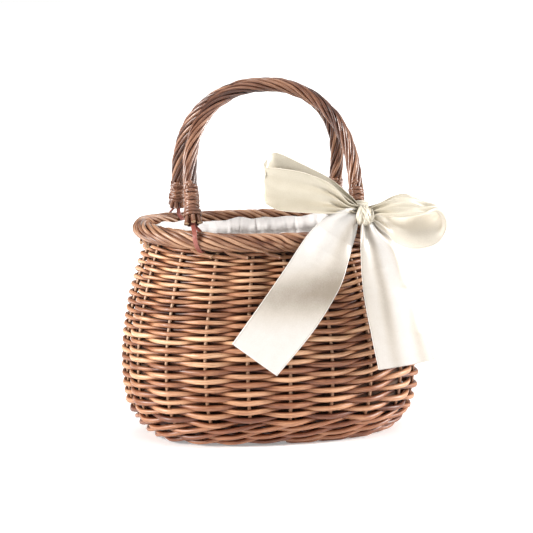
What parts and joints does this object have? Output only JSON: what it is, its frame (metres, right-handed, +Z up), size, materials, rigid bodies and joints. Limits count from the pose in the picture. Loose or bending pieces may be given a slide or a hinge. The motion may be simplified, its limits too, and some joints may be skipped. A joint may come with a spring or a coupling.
{
  "type": "flower girl basket",
  "caption": "Oval woven willow basket with a rope border, two leather-hinged drop handles, a gathered cotton liner and a large satin ribbon bow.",
  "frame": {"origin": "the middle of the flat underside of the woven base", "axes": "+X along the basket's long side, +Y towards the back handle, +Z up; the bow is on the -Y side"},
  "size_m": [0.2426, 0.169, 0.2737],
  "materials": {
    "willow": "buff willow with a thin clear coat",
    "willow_stakes": "buff willow, darker in the gaps",
    "handle_willow": "buff willow rods, satin",
    "cane_binding": "split willow skein, satin",
    "leather": "smooth red-brown leather",
    "cotton": "off-white cotton, matte",
    "satin": "ivory satin ribbon"
  },
  "bodies": {
    "basket": {"base_weave": "willow", "base_long_stick_1": "willow_stakes", "base_long_stick_2": "willow_stakes", "base_short_stick_1": "willow_stakes", "base_short_stick_2": "willow_stakes", "base_short_stick_3": "willow_stakes", "base_short_stick_4": "willow_stakes", "base_short_stick_5": "willow_stakes", "side_stake_1": "willow_stakes", "side_stake_2": "willow_stakes", "side_stake_3": "willow_stakes", "side_stake_4": "willow_stakes", "side_stake_5": "willow_stakes", "side_stake_6": "willow_stakes", "side_stake_7": "willow_stakes", "side_stake_8": "willow_stakes", "side_stake_9": "willow_stakes", "side_stake_10": "willow_stakes", "side_stake_11": "willow_stakes", "side_stake_12": "willow_stakes", "side_stake_13": "willow_stakes", "side_stake_14": "willow_stakes", "side_stake_15": "willow_stakes", "side_stake_16": "willow_stakes", "side_stake_17": "willow_stakes", "side_stake_18": "willow_stakes", "side_stake_19": "willow_stakes", "side_stake_20": "willow_stakes", "upsett_wale": "willow", "randing_course_1": "willow", "randing_course_2": "willow", "randing_course_3": "willow", "randing_course_4": "willow", "randing_course_5": "willow", "randing_course_6": "willow", "randing_course_7": "willow", "top_wale": "willow", "rolled_border": "willow", "front_left_strap": "leather", "front_right_strap": "leather", "back_left_strap": "leather", "back_right_strap": "leather", "liner_bag": "cotton"},
    "front_handle": {"front_handle_core": "handle_willow", "front_handle_winding_a": "handle_willow", "front_handle_winding_b": "handle_willow", "front_left_binding": "cane_binding", "front_right_binding": "cane_binding", "ribbon_wrap": "satin", "ribbon_knot": "satin", "ribbon_loop_left": "satin", "ribbon_loop_right": "satin"},
    "back_handle": {"back_handle_core": "handle_willow", "back_handle_winding_a": "handle_willow", "back_handle_winding_b": "handle_willow", "back_left_binding": "cane_binding", "back_right_binding": "cane_binding"},
    "ribbon_tails": {"ribbon_tail_left": "satin", "ribbon_tail_right": "satin"}
  },
  "joints": [
    {"name": "front_handle_swing", "type": "hinge", "parent": "basket", "child": "front_handle", "pos_m": [-0.0008, -0.0553, 0.1552], "axis": [1, 0, 0], "range_deg": [0, 35]},
    {"name": "back_handle_swing", "type": "hinge", "parent": "basket", "child": "back_handle", "pos_m": [-0.0008, 0.0553, 0.1592], "axis": [-1, 0, 0], "range_deg": [0, 170]},
    {"name": "ribbon_tails_hang", "type": "hinge", "parent": "front_handle", "child": "ribbon_tails", "pos_m": [0.0626, -0.065, 0.1735], "axis": [1, 0, 0], "range_deg": [-35, 0]}
  ],
  "couplings": [
    {"joint": "ribbon_tails_hang", "follows": "front_handle_swing", "ratio": -1}
  ]
}
